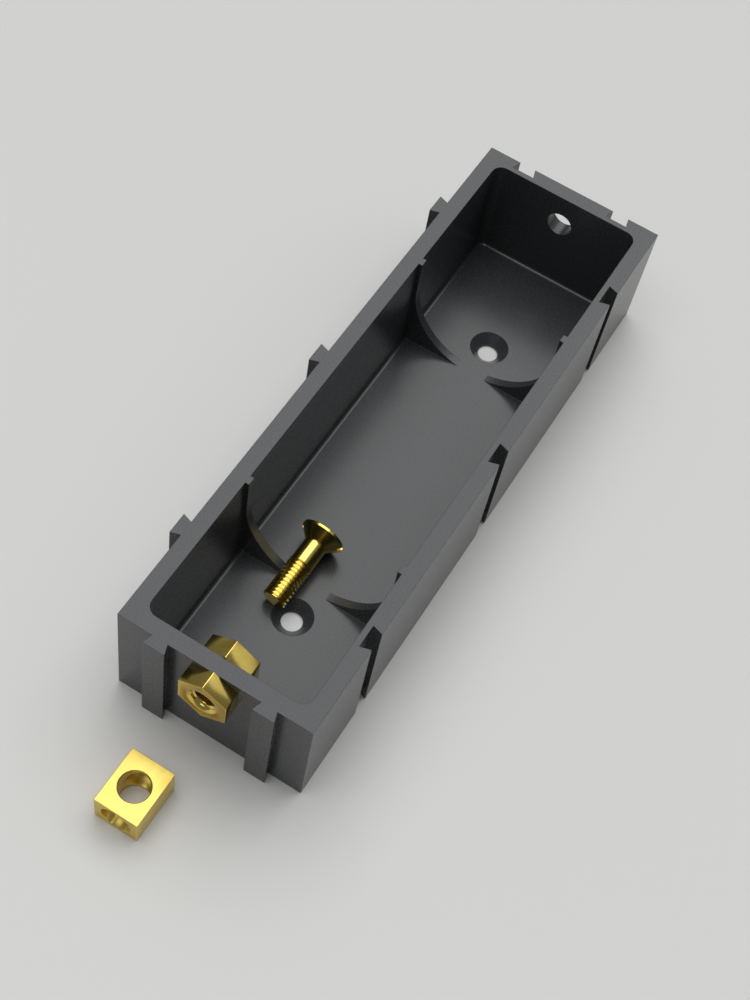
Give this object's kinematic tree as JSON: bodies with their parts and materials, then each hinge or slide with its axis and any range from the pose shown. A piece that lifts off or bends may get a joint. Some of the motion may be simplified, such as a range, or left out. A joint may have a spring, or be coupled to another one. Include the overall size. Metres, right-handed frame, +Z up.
{
  "type": "cylindrical cell holder",
  "caption": "Open moulded tray that cradles a round cell, with dovetails for joining trays and a brass terminal bush, nut, contact screw and wire block.",
  "frame": {"origin": "centre of the tray's underside", "axes": "+Z up out of the tray's open mouth, +Y along the tray from the end with the brass bush to the end with the empty hole, +X to the side with the dovetail slots"},
  "size_m": [0.0252, 0.0952, 0.0163],
  "materials": {
    "moulded_plastic": "dark grey, smooth satin as moulded",
    "turned_brass": "bright turned and milled"
  },
  "bodies": {
    "root": {"tray": "moulded_plastic", "terminal_bush": "turned_brass", "bush_nut": "turned_brass", "contact_screw": "turned_brass", "wire_block": "turned_brass"}
  },
  "joints": []
}
